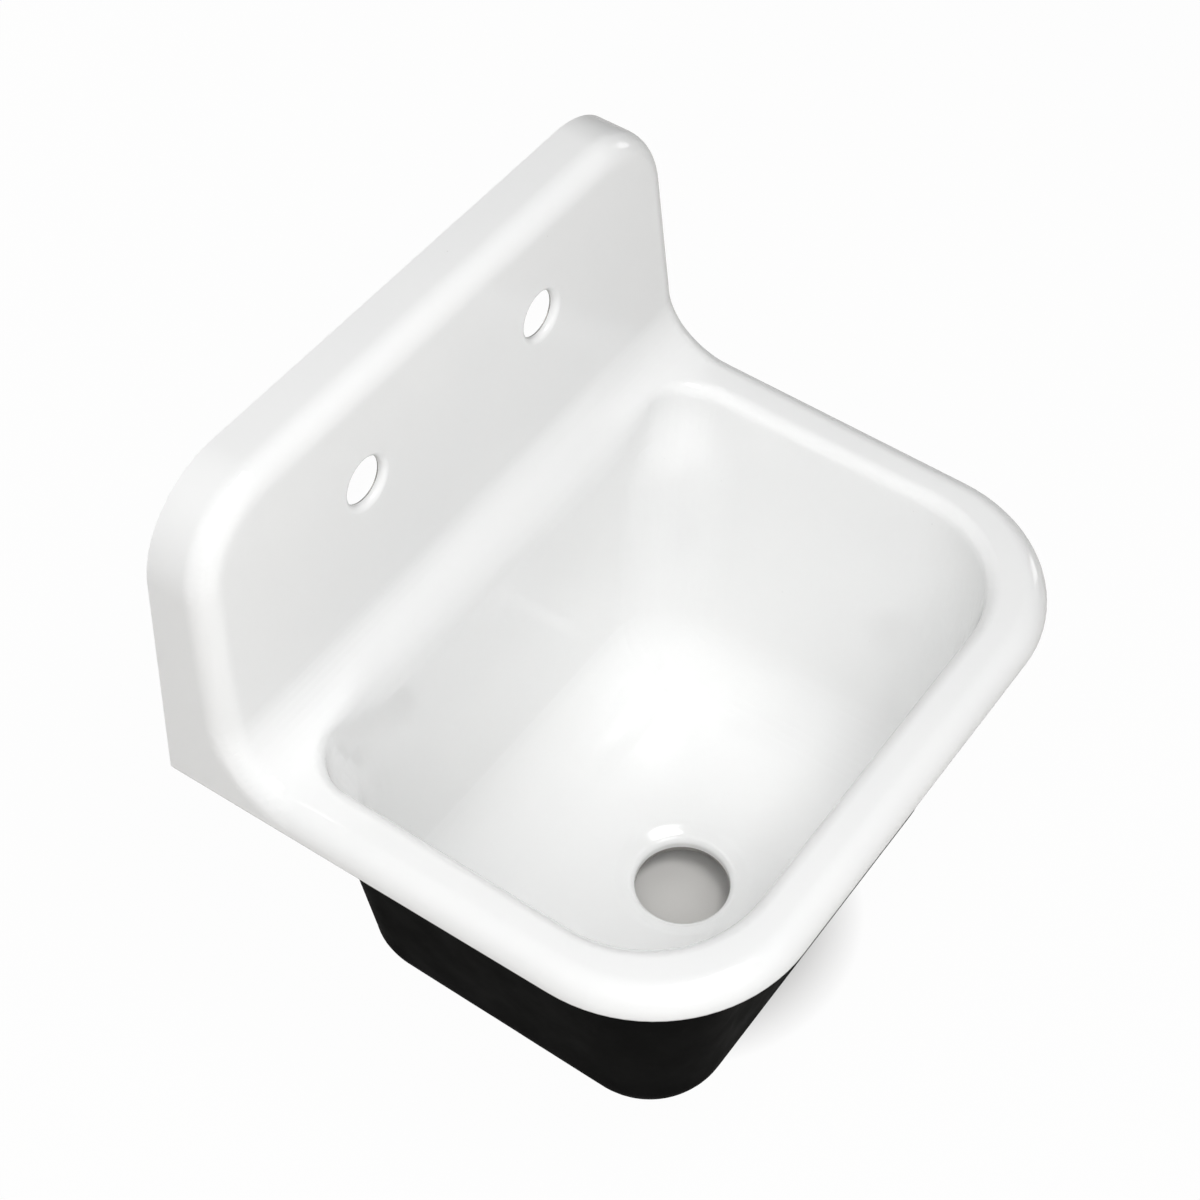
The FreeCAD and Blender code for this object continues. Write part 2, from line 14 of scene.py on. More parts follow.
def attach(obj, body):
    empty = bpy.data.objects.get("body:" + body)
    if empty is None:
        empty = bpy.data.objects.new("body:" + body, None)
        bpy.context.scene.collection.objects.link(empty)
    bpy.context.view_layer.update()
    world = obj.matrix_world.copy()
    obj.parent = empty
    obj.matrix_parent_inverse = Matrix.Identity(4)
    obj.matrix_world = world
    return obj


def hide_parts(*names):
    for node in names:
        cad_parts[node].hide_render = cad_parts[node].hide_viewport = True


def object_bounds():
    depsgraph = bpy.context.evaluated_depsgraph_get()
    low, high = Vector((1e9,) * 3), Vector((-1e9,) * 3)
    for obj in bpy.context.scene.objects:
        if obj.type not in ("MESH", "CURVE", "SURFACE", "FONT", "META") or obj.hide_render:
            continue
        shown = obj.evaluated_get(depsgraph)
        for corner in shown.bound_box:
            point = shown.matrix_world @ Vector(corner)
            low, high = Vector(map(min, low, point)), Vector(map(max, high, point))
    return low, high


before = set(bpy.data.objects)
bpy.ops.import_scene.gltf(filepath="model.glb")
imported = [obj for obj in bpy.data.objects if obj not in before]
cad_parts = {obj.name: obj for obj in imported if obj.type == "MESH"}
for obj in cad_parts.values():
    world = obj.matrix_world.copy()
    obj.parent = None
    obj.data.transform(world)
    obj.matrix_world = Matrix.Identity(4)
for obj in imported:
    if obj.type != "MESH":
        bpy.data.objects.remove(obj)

CAD_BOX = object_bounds()
LOG = logging.getLogger("wall_sink")

Color = tuple[float, float, float]
Values = dict[str, float]
Corner = bmesh.types.BMVert
Edge = bmesh.types.BMEdge
Face = bmesh.types.BMFace
Mesh = bmesh.types.BMesh
Material = bpy.types.Material
Piece = bpy.types.Object
Socket = bpy.types.NodeSocket
Tree = bpy.types.NodeTree

MM = 0.001
WELD = 0.001 * MM
FULL_TURN = 2.0 * math.pi
UP = Vector((0.0, 0.0, 1.0))
ROUND_PROFILE = 0.5
NORMAL_WEIGHT = 80
WHITE = (1.0, 1.0, 1.0, 1.0)

# The basin: Y of its flat back at the origin's height, how Y falls on the way down, and the floor's height.
BACK_AT_ZERO = -80.8 * MM
BACK_SLOPE = 0.03
BASIN_FLOOR = -421.0 * MM


class Coat(IntEnum):
    """Coats of the casting, in the order of its material slots."""

    ENAMEL = 0
    PAINT = 1
    BARE_IRON = 2


class Side(IntEnum):
    """Sides of the sink as seen by a person who faces it."""

    LEFT = -1
    RIGHT = 1


class NodeBoard:
    """Adds nodes to one node tree, sets their values and joins them."""

    column_width = 190.0

    def __init__(self, tree: Tree) -> None:
        """Starts on the fresh tree of a material, world or group."""
        self.tree = tree
        self.columns = 0

    def give(self, value: object, target: Socket) -> None:
        """Joins a socket to an input, or sets the input to a plain value."""
        if isinstance(value, Socket):
            self.tree.links.new(value, target)
        else:
            target.default_value = value

    def add(self, kind: str, inputs: dict | None = None, **settings: object) -> bpy.types.Node:
        """Adds one node.

        Args:
            kind: Blender's name of the node type.
            inputs: What its inputs are given, by their name or place: sockets or plain values.
            **settings: Properties of the node itself.

        Returns:
            The new node.
        """
        node = self.tree.nodes.new(kind)
        node.location = (self.columns * self.column_width, 0.0)
        self.columns += 1
        for name, value in settings.items():
            setattr(node, name, value)
        for name, value in (inputs or {}).items():
            self.give(value, node.inputs[name])
        return node

    def math(self, operation: str, first: object, second: object) -> Socket:
        """Adds a Math node for two sockets or numbers, and returns the result."""
        return self.add("ShaderNodeMath", {0: first, 1: second}, operation=operation).outputs[0]

    def noise(self, vector: Socket, scale: object, detail: float) -> Socket:
        """Adds noise with so many waves in a metre and octaves, and returns it, from 0 to 1."""
        return self.add("ShaderNodeTexNoise", {"Vector": vector, "Scale": scale, "Detail": detail}).outputs[0]

    def span(self, value: Socket, low: float, high: float, to_low: object, to_high: object) -> Socket:
        """Maps a socket from low and high to two other ends, clamped, and returns the result."""
        inputs = {"Value": value, "From Min": low, "From Max": high, "To Min": to_low, "To Max": to_high}
        return self.add("ShaderNodeMapRange", inputs, clamp=True).outputs[0]

    def blend(self, share: Socket, first: object, second: object) -> Socket:
        """Mixes two colours, each a socket or four numbers, by the share of the second."""
        node = self.add("ShaderNodeMix", data_type="RGBA")
        ends = {"Factor_Float": share, "A_Color": first, "B_Color": second}
        for socket in node.inputs:
            if socket.identifier in ends:
                self.give(ends[socket.identifier], socket)
        return next(socket for socket in node.outputs if socket.identifier == "Result_Color")

    def mix(self, share: Socket, first: Socket, second: Socket) -> Socket:
        """Adds a node that mixes two shaders, by the share of the second."""
        return self.add("ShaderNodeMixShader", {0: share, 1: first, 2: second}).outputs[0]


def opaque(color: Color) -> tuple[float, float, float, float]:
    """A colour with full alpha."""
    return (*color, 1.0)


class EffectGroups:
    """Shader node groups for the effects that several finishes share."""

    wave_octaves = 1.0
    peel_octaves = 2.0
    cloud_octaves = 4.0
    skin_octaves = 3.0
    cloud_span = (0.32, 0.68)
    pit_span = (0.36, 0.3)
    sand_share = 0.45

    def __init__(self) -> None:
        """Builds each group once."""
        self.trees = {
            "ripple": self.make_ripple(),
            "drift": self.make_drift(),
            "specks": self.make_specks(),
            "cast_skin": self.make_cast_skin(),
        }

    @staticmethod
    def start(name: str, inputs: Values, outputs: Iterable[str]) -> tuple[NodeBoard, dict, dict]:
        """Makes an empty group that takes a Vector and some numbers.

        Args:
            name: Name of the group.
            inputs: Default value of each number that it takes.
            outputs: Names of the outputs, which are all numbers.

        Returns:
            The board, the inputs' sockets inside the group by name, and the outputs' sockets by name.
        """
        tree = bpy.data.node_groups.new(name, "ShaderNodeTree")
        tree.interface.new_socket(name="Vector", in_out="INPUT", socket_type="NodeSocketVector")
        for title, value in inputs.items():
            socket = tree.interface.new_socket(name=title, in_out="INPUT", socket_type="NodeSocketFloat")
            socket.default_value = value
        for title in outputs:
            tree.interface.new_socket(name=title, in_out="OUTPUT", socket_type="NodeSocketFloat")
        board = NodeBoard(tree)
        entry = board.add("NodeGroupInput")
        leave = board.add("NodeGroupOutput")
        return board, dict(entry.outputs.items()), dict(leave.inputs.items())

    def make_ripple(self) -> Tree:
        """Makes the slow waves and fine orange peel of a coat that flowed before it set."""
        values = {"Wave Scale": 18.0, "Peel Scale": 420.0, "Peel Share": 0.2}
        board, given, result = self.start("Coat Ripple", values, ["Height"])
        waves = board.noise(given["Vector"], given["Wave Scale"], self.wave_octaves)
        peel = board.noise(given["Vector"], given["Peel Scale"], self.peel_octaves)
        fine = board.math("MULTIPLY", peel, given["Peel Share"])
        board.give(board.math("ADD", waves, fine), result["Height"])
        return board.tree

    def make_drift(self) -> Tree:
        """Makes a value that drifts between Low and High over the surface."""
        board, given, result = self.start("Tone Drift", {"Scale": 9.0, "Low": 0.0, "High": 1.0}, ["Value"])
        clouds = board.noise(given["Vector"], given["Scale"], self.cloud_octaves)
        board.give(board.span(clouds, *self.cloud_span, given["Low"], given["High"]), result["Value"])
        return board.tree

    def make_specks(self) -> Tree:
        """Makes a mask that is 1 in small round specks at scattered places."""
        board, given, result = self.start("Specks", {"Scale": 160.0, "Size": 0.12, "Share": 0.2}, ["Mask"])
        cells = board.add("ShaderNodeTexVoronoi", {"Vector": given["Vector"], "Scale": given["Scale"]})
        near = board.math("LESS_THAN", cells.outputs["Distance"], given["Size"])
        draw = board.add("ShaderNodeSeparateColor", {0: cells.outputs["Color"]})
        chosen = board.math("LESS_THAN", draw.outputs[0], given["Share"])
        board.give(board.math("MULTIPLY", near, chosen), result["Mask"])
        return board.tree

    def make_cast_skin(self) -> Tree:
        """Makes the skin that the sand of a mould leaves on iron, and a mask of its pits."""
        values = {"Sand Scale": 700.0, "Lump Scale": 60.0}
        board, given, result = self.start("Cast Skin", values, ["Height", "Pits"])
        sand = board.noise(given["Vector"], given["Sand Scale"], self.skin_octaves)
        lumps = board.noise(given["Vector"], given["Lump Scale"], self.skin_octaves)
        board.give(board.math("ADD", board.math("MULTIPLY", sand, self.sand_share), lumps), result["Height"])
        board.give(board.span(sand, *self.pit_span, 0.0, 1.0), result["Pits"])
        return board.tree


@dataclass(frozen=True)
class Relief:
    """A bump: the Height of a shared effect, its strength and the height in metres that 1 stands for."""

    effect: str
    values: Values
    strength: float
    depth: float


class FinishSheet:
    """A material under way: its board, its surface shader and its coordinates."""

    def __init__(self, name: str, effects: EffectGroups) -> None:
        """Makes a material with one surface shader."""
        self.material = bpy.data.materials.new(name)
        self.material.use_nodes = True
        self.effects = effects
        self.board = NodeBoard(self.material.node_tree)
        self.surface = self.material.node_tree.nodes["Principled BSDF"]
        coordinates = self.board.add("ShaderNodeTexCoord").outputs
        self.place = coordinates["Object"]
        self.facing = coordinates["Normal"]

    def effect(self, name: str, values: Values, output: str) -> Socket:
        """Places a shared effect on the piece's own coordinates.

        Args:
            name: The effect's name.
            values: Its inputs by name.
            output: Name of the output wanted.

        Returns:
            That output's socket.
        """
        inputs = {"Vector": self.place, **values}
        return self.board.add("ShaderNodeGroup", inputs, node_tree=self.effects.trees[name]).outputs[output]

    def bump(self, relief: Relief) -> Socket:
        """Adds a bump and returns the socket with its normal."""
        height = self.effect(relief.effect, relief.values, "Height")
        inputs = {"Strength": relief.strength, "Distance": relief.depth, "Height": height}
        return self.board.add("ShaderNodeBump", inputs).outputs["Normal"]


class Finish:
    """A finish whose colour drifts between two tones under specks, with a drifting gloss and a bump.

    Each kind of finish gives the values that it needs: the drifts and the specks are inputs of the shared
    effects, and shader holds inputs of the surface shader.
    """

    name: str
    tones: tuple[Color, Color]
    tone_drift: Values
    speck: Color
    specks: Values
    gloss_drift: Values
    relief: Relief
    shader: Values

    def tone_and_gloss(self, sheet: FinishSheet) -> tuple[Socket, Socket]:
        """Adds the nodes of the plain surface, and returns its colour and its roughness."""
        first, second = self.tones
        share = sheet.effect("drift", self.tone_drift, "Value")
        tone = sheet.board.blend(share, opaque(first), opaque(second))
        return tone, sheet.effect("drift", self.gloss_drift, "Value")

    def speck_mask(self, sheet: FinishSheet) -> Socket:
        """Adds the nodes that tell where the specks are."""
        return sheet.effect("specks", self.specks, "Mask")

    def material(self, effects: EffectGroups) -> Material:
        """Makes the material with the shared effects."""
        sheet = FinishSheet(self.name, effects)
        tone, gloss = self.tone_and_gloss(sheet)
        inputs = {
            "Base Color": sheet.board.blend(self.speck_mask(sheet), tone, opaque(self.speck)),
            "Roughness": gloss,
            "Normal": sheet.bump(self.relief),
            **self.shader,
        }
        for name, value in inputs.items():
            sheet.board.give(value, sheet.surface.inputs[name])
        return sheet.material


class EnamelFinish(Finish):
    """White porcelain enamel, fired on: glossy, a little wavy, with rare pinholes."""

    name = "white_enamel"
    tones = ((0.95, 0.952, 0.947), (0.935, 0.938, 0.936))
    tone_drift = {"Scale": 7.0}
    speck = (0.74, 0.735, 0.72)
    specks = {"Scale": 95.0, "Size": 0.04, "Share": 0.04}
    gloss_drift = {"Scale": 24.0, "Low": 0.055, "High": 0.12}
    waves = {"Wave Scale": 14.0, "Peel Scale": 330.0, "Peel Share": 0.035}
    relief = Relief("ripple", waves, strength=0.35, depth=0.5 * MM)
    shader = {"IOR": 1.52}


class PaintFinish(Finish):
    """Black paint over the iron's sand-cast skin, with a little dust; what faces the wall is painted lighter,
    as painted light that lets the back's forms show.
    """

    name = "black_paint"
    tones = ((0.0048, 0.0048, 0.0046), (0.006, 0.0059, 0.0057))
    tone_drift = {"Scale": 11.0}
    # Painted light: a lighter tone on what faces the wall, standing in for light on the back so its forms
    # show.
    back_light_tone = (0.024, 0.0236, 0.023)
    wall_turn = (0.35, 0.8)
    speck = (0.013, 0.0126, 0.012)
    specks = {"Scale": 210.0, "Size": 0.1, "Share": 0.06}
    gloss_drift = {"Scale": 30.0, "Low": 0.46, "High": 0.58}
    relief = Relief("cast_skin", {"Sand Scale": 520.0, "Lump Scale": 45.0}, strength=0.22, depth=0.2 * MM)
    shader = {"Specular IOR Level": 0.006}

    def tone_and_gloss(self, sheet: FinishSheet) -> tuple[Socket, Socket]:
        """Adds the nodes of the plain paint, with painted light: what faces the wall is lighter, so the
        back's forms show.
        """
        plain_paint_tone, gloss = super().tone_and_gloss(sheet)
        along = sheet.board.add("ShaderNodeSeparateXYZ", {0: sheet.facing})
        # Painted light: the share of the lighter tone grows as a face turns to the wall.
        back_light_share = sheet.board.span(along.outputs["Y"], *self.wall_turn, 0.0, 1.0)
        return sheet.board.blend(back_light_share, plain_paint_tone, opaque(self.back_light_tone)), gloss


class BareIronFinish(Finish):
    """Bare grey iron, ground in the holes and free of coat, with the dark pits of its own skin for specks."""

    name = "bare_iron"
    tones = ((0.4, 0.39, 0.375), (0.17, 0.16, 0.15))
    tone_drift = {"Scale": 60.0, "Low": 0.0, "High": 0.5}
    speck = (0.17, 0.16, 0.15)
    gloss_drift = {"Scale": 90.0, "Low": 0.3, "High": 0.55}
    relief = Relief("cast_skin", {"Sand Scale": 900.0, "Lump Scale": 120.0}, strength=0.4, depth=0.3 * MM)
    shader = {"Metallic": 0.85}

    def speck_mask(self, sheet: FinishSheet) -> Socket:
        """Adds the nodes that tell where the pits are."""
        return sheet.effect("cast_skin", self.relief.values, "Pits")


class GalvanisedFinish(Finish):
    """Hot-dip galvanised steel: grey zinc crystals that each catch the light in their own way, with bloom."""

    name = "galvanised_steel"
    tones = ((0.36, 0.37, 0.385), (0.6, 0.61, 0.62))
    crystal_scale = 105.0
    speck = (0.72, 0.72, 0.7)
    specks = {"Scale": 140.0, "Size": 0.22, "Share": 0.12}
    bloom_drift = {"Scale": 25.0, "Low": 0.0, "High": 0.55}
    gloss_span = (0.34, 0.52)
    relief = Relief("ripple", {"Wave Scale": 70.0, "Peel Scale": 500.0}, strength=0.3, depth=0.2 * MM)
    shader = {"Metallic": 0.9}

    def tone_and_gloss(self, sheet: FinishSheet) -> tuple[Socket, Socket]:
        """Adds the nodes of the crystals, which each have a tone and a gloss of their own."""
        first, second = self.tones
        inputs = {"Vector": sheet.place, "Scale": self.crystal_scale}
        crystals = sheet.board.add("ShaderNodeTexVoronoi", inputs)
        draw = sheet.board.add("ShaderNodeSeparateColor", {0: crystals.outputs["Color"]}).outputs
        tone = sheet.board.blend(draw[0], opaque(first), opaque(second))
        return tone, sheet.board.span(draw[1], 0.0, 1.0, *self.gloss_span)

    def speck_mask(self, sheet: FinishSheet) -> Socket:
        """Adds the nodes that tell where the bloom is and how much of it there is."""
        clouds = sheet.effect("drift", self.bloom_drift, "Value")
        return sheet.board.math("MULTIPLY", super().speck_mask(sheet), clouds)


class ZincFinish(Finish):
    """Bright zinc plate on turned and stamped steel, with a faint bluish passivation and small stains."""

    name = "zinc_plate"
    tones = ((0.68, 0.68, 0.67), (0.58, 0.61, 0.65))
    tone_drift = {"Scale": 90.0}
    speck = (0.38, 0.37, 0.34)
    specks = {"Scale": 420.0, "Size": 0.2, "Share": 0.1}
    gloss_drift = {"Scale": 160.0, "Low": 0.2, "High": 0.4}
    relief = Relief("ripple", {"Wave Scale": 180.0, "Peel Scale": 1500.0}, strength=0.25, depth=0.08 * MM)
    shader = {"Metallic": 1.0}


def eased(value: float, start: float, end: float) -> float:
    """Share of the way from a start to an end, from 0 to 1, which begins and ends softly."""
    share = min(1.0, max(0.0, (value - start) / (end - start)))
    return share * share * (3.0 - 2.0 * share)


def of_kind(items: Iterable[object], kind: type) -> list:
    """Picks the corners, edges or faces out of what a bmesh operator returns."""
    return [item for item in items if isinstance(item, kind)]


def each_once(items: Iterable[object]) -> list:
    """Lists items without repeats, in the order in which they come first."""
    return list(dict.fromkeys(items))


def joined_copy(node: str) -> Mesh:
    """Copies a CAD node's mesh, in the CAD's own frame, and joins its loose triangles."""
    shape = bmesh.new()
    shape.from_mesh(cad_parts[node].data)
    bmesh.ops.remove_doubles(shape, verts=shape.verts[:], dist=WELD)
    bmesh.ops.dissolve_degenerate(shape, dist=WELD, edges=shape.edges[:])
    return shape


def bisect_faces(shape: Mesh, faces: list[Face], place: Vector, normal: Vector) -> list[Face]:
    """Cuts faces along a plane.

    Args:
        shape: The bmesh.
        faces: The faces to cut.
        place: A point of the plane.
        normal: The plane's direction.

    Returns:
        The same faces after the cut, whole ones and halves.
    """
    edges = each_once(edge for face in faces for edge in face.edges)
    corners = each_once(corner for face in faces for corner in face.verts)
    cut = bmesh.ops.bisect_plane(
        shape, geom=[*faces, *edges, *corners], dist=WELD, plane_co=place, plane_no=normal.normalized()
    )
    return of_kind(cut["geom"], Face)


def outer_edges(shape: Mesh, least_angle: float) -> list[Edge]:
    """Finds the edges that stand out and whose faces turn by at least an angle in degrees."""
    limit = math.radians(least_angle)
    return [edge for edge in shape.edges if edge.is_manifold and edge.calc_face_angle_signed(0.0) > limit]


def round_edges(shape: Mesh, edges: list[Edge], width: float, steps: int) -> None:
    """Rounds edges.

    Args:
        shape: The bmesh.
        edges: The edges to round.
        width: How far the rounding reaches from each edge, in metres.
        steps: Number of faces across the rounding.
    """
    corners = each_once(corner for edge in edges for corner in edge.verts)
    bmesh.ops.bevel(
        shape,
        geom=[*edges, *corners],
        offset=width,
        offset_type="OFFSET",
        affect="EDGES",
        segments=steps,
        profile=ROUND_PROFILE,
        material=-1,
        clamp_overlap=True,
    )


def finish_piece(shape: Mesh, name: str, materials: list[Material], crease: float) -> Piece:
    """Makes an object of a bmesh, smooth but for its creases.

    Args:
        shape: The bmesh, which is freed.
        name: Name of the piece.
        materials: Its materials, in slot order.
        crease: Angle in degrees past which an edge stays sharp.

    Returns:
        The new object, linked to the scene.
    """
    for face in shape.faces:
        face.smooth = True
    mesh = bpy.data.meshes.new(name)
    shape.to_mesh(mesh)
    shape.free()
    mesh.set_sharp_from_angle(angle=math.radians(crease))
    for material in materials:
        mesh.materials.append(material)
    piece = bpy.data.objects.new(name, mesh)
    bpy.context.scene.collection.objects.link(piece)
    weighted = piece.modifiers.new("even_normals", "WEIGHTED_NORMAL")
    weighted.keep_sharp = True
    weighted.weight = NORMAL_WEIGHT
    LOG.info("%s: %d vertices, %d faces", name, len(mesh.vertices), len(mesh.polygons))
    return piece


def mount_piece(piece: Piece, body: str, node: str) -> None:
    """Puts a piece on its body in the place of a CAD node.

    Args:
        piece: The finished piece.
        body: Body that it moves with.
        node: CAD node that it stands for.
    """
    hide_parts(node)
    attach(piece, body)


@dataclass(frozen=True)
class Hole:
    """A round hole of the casting, whose wall is enamelled for a way in and bare behind."""

    foot: tuple[float, float, float]
    axis: tuple[float, float, float]
    radius: float
    coat_depth: float
    slack: float = 0.3 * MM

    def way(self) -> Vector:
        """Direction into the hole."""
        return Vector(self.axis).normalized()

    def holds(self, corners: Iterable[Corner], reach: float) -> bool:
        """Tells whether corners all lie within the wall's radius and a reach beyond it."""
        way = self.way()
        for corner in corners:
            across = corner.co - Vector(self.foot)
            if (across - way * across.dot(way)).length > self.radius + reach:
                return False
        return True

    def is_bare(self, face: Face) -> bool:
        """Tells whether a face is a part of the wall that the enamel doesn't reach."""
        depth = (face.calc_center_median() - Vector(self.foot)).dot(self.way())
        return depth > self.coat_depth and self.holds(face.verts, self.slack)

    def score(self, shape: Mesh) -> None:
        """Cuts the wall's faces round where the enamel ends."""
        wall = [face for face in shape.faces if self.holds(face.verts, self.slack)]
        bisect_faces(shape, wall, Vector(self.foot) + self.way() * self.coat_depth, Vector(self.axis))


@dataclass(frozen=True)
class Ridge:
    """The soft roll where the curve under the backsplash turns down into the basin's back.

    The roll touches that hollow curve and the flat back. Its radius is full in the middle and shrinks to the
    lip's own towards both ends.
    """

    hollow_centre: tuple[float, float] = (-107.0 * MM, -90.0 * MM)
    hollow_radius: float = 50.0 * MM
    full_radius: float = 85.0 * MM
    end_radius: float = 12.5 * MM
    full_half: float = 130.0 * MM
    end_half: float = 192.0 * MM
    slices: int = 26
    rays: int = 16
    spread: tuple[float, float] = (126.0, 186.0)
    depths: tuple[float, float] = (-116.0 * MM, -56.0 * MM)

    def radius(self, across: float) -> float:
        """Radius of the roll at a distance from the sink's middle."""
        share = eased(abs(across), self.full_half, self.end_half)
        return self.full_radius + (self.end_radius - self.full_radius) * share

    def centre(self, radius: float) -> tuple[float, float]:
        """Finds the axis, in Y and Z, of a roll that touches both the hollow curve and the back."""
        line_at_zero = BACK_AT_ZERO + radius * math.hypot(1.0, BACK_SLOPE)
        start = line_at_zero - self.hollow_centre[0]
        square = 1.0 + BACK_SLOPE**2
        half = BACK_SLOPE * start - self.hollow_centre[1]
        rest = start**2 + self.hollow_centre[1] ** 2 - (self.hollow_radius + radius) ** 2
        height = (-half - math.sqrt(half**2 - square * rest)) / square
        return line_at_zero + BACK_SLOPE * height, height

    def faces(self, shape: Mesh) -> list[Face]:
        """Finds the enamelled faces by the ridge."""
        low, high = self.depths
        return [
            face
            for face in shape.faces
            if face.material_index == Coat.ENAMEL
            and all(low < corner.co.y < high for corner in face.verts)
            and any(corner.co.z < self.hollow_centre[1] for corner in face.verts)
        ]

    def soften(self, shape: Mesh) -> None:
        """Cuts the ridge into fine faces and draws their corners in to the roll."""
        for number in range(self.slices + 1):
            across = self.end_half * (2.0 * number / self.slices - 1.0)
            bisect_faces(shape, self.faces(shape), Vector((across, 0.0, 0.0)), Vector((1.0, 0.0, 0.0)))
        axis = Vector((0.0, *self.centre(self.full_radius)))
        first, last = (math.radians(turn) for turn in self.spread)
        for number in range(self.rays + 1):
            turn = first + (last - first) * number / self.rays
            bisect_faces(shape, self.faces(shape), axis, Vector((0.0, -math.sin(turn), math.cos(turn))))
        for corner in each_once(corner for face in self.faces(shape) for corner in face.verts):
            if abs(corner.co.x) < self.end_half:
                self.draw_in(corner)

    def draw_in(self, corner: Corner) -> None:
        """Draws one corner in to the roll where it stands proud of it."""
        radius = self.radius(corner.co.x)
        centre = self.centre(radius)
        first = math.atan2(self.hollow_centre[1] - centre[1], self.hollow_centre[0] - centre[0])
        last = math.pi + math.atan(BACK_SLOPE)
        out = (corner.co.y - centre[0], corner.co.z - centre[1])
        turn = math.atan2(out[1], out[0]) % FULL_TURN
        reach = math.hypot(*out)
        if first < turn < last and reach > radius:
            corner.co.y = centre[0] + out[0] * radius / reach
            corner.co.z = centre[1] + out[1] * radius / reach


@dataclass(frozen=True)
class Plane:
    """A flat wall of the basin, with its direction out of the basin."""

    place: Vector
    out: Vector

    def excess(self, point: Vector, inset: float) -> float:
        """How far a point lies past the plane when that is moved inwards by an inset."""
        return (point - self.place).dot(self.out) + inset


@dataclass(frozen=True)
class Cavity:
    """The basin's inside, whose walls and floor run into each other in wide soft corners.

    Each wall is given by its place at the height of the origin and by its slope. Below the lip the corners
    grow from the casting's own radius to the full one.
    """

    side_at_zero: float = 256.0 * MM
    side_slope: float = 0.15
    front_at_zero: float = -425.08 * MM
    front_slope: float = 0.122
    rim: float = -130.0 * MM
    lip: float = -152.0 * MM
    full_depth: float = -225.0 * MM
    lip_radius: float = 38.0 * MM
    full_radius: float = 66.0 * MM
    slack: float = 0.5 * MM
    cuts: int = 8
    levels: int = 18
    rounds: int = 12

    def planes(self) -> list[Plane]:
        """Lists the four walls and the floor."""
        walls = [
            *(((side * self.side_at_zero, 0.0, 0.0), (side, 0.0, -self.side_slope)) for side in Side),
            ((0.0, BACK_AT_ZERO, 0.0), (0.0, 1.0, -BACK_SLOPE)),
            ((0.0, self.front_at_zero, 0.0), (0.0, -1.0, -self.front_slope)),
            ((0.0, 0.0, BASIN_FLOOR), (0.0, 0.0, -1.0)),
        ]
        return [Plane(Vector(place), Vector(out).normalized()) for place, out in walls]

    def radius(self, height: float) -> float:
        """Radius of the corners at a height."""
        share = eased(height, self.lip, self.full_depth)
        return self.lip_radius + (self.full_radius - self.lip_radius) * share

    def faces(self, shape: Mesh, planes: list[Plane], top: float) -> list[Face]:
        """Finds the enamelled faces of the basin's inside, within its planes and below a top."""
        return [
            face
            for face in shape.faces
            if face.material_index == Coat.ENAMEL
            and all(corner.co.z < top for corner in face.verts)
            and all(plane.excess(corner.co, -self.slack) < 0.0 for corner in face.verts for plane in planes)
        ]

    def core_point(self, point: Vector, planes: list[Plane], radius: float) -> Vector:
        """Finds the nearest point of the basin's core, which keeps a radius from every wall.

        Args:
            point: A point on the basin's inside.
            planes: The walls that it lies near, and the floor if it lies near that.
            radius: Radius of the corners.

        Returns:
            The nearest point, found by projecting on each wall in turn.
        """
        near = point.copy()
        shifts = [Vector() for _ in planes]
        for _ in range(self.rounds):
            for index, plane in enumerate(planes):
                start = near + shifts[index]
                near = start - plane.out * max(0.0, plane.excess(start, radius))
                shifts[index] = start - near
        return near

    def soften(self, shape: Mesh) -> None:
        """Cuts the corners into fine faces and draws them in to the wide rounding."""
        planes = self.planes()
        bisect_faces(shape, self.faces(shape, planes, self.rim), Vector((0.0, 0.0, self.lip)), UP)
        faces = self.faces(shape, planes, self.lip + WELD)
        for number in range(1, self.levels):
            level = self.lip + (BASIN_FLOOR - self.lip) * number / self.levels
            faces = bisect_faces(shape, faces, Vector((0.0, 0.0, level)), UP)
        for number in range(1, self.cuts + 1):
            inset = self.full_radius * number / self.cuts
            for plane in planes:
                faces = bisect_faces(shape, faces, plane.place - plane.out * inset, plane.out)
        for corner in each_once(corner for face in faces for corner in face.verts):
            radius = self.radius(corner.co.z)
            near = [plane for plane in planes if plane.excess(corner.co, radius) > 0.0]
            if len(near) > 1:
                core = self.core_point(corner.co, near, radius)
                reach = (corner.co - core).length
                if reach > radius:
                    corner.co = core + (corner.co - core) * (radius / reach)


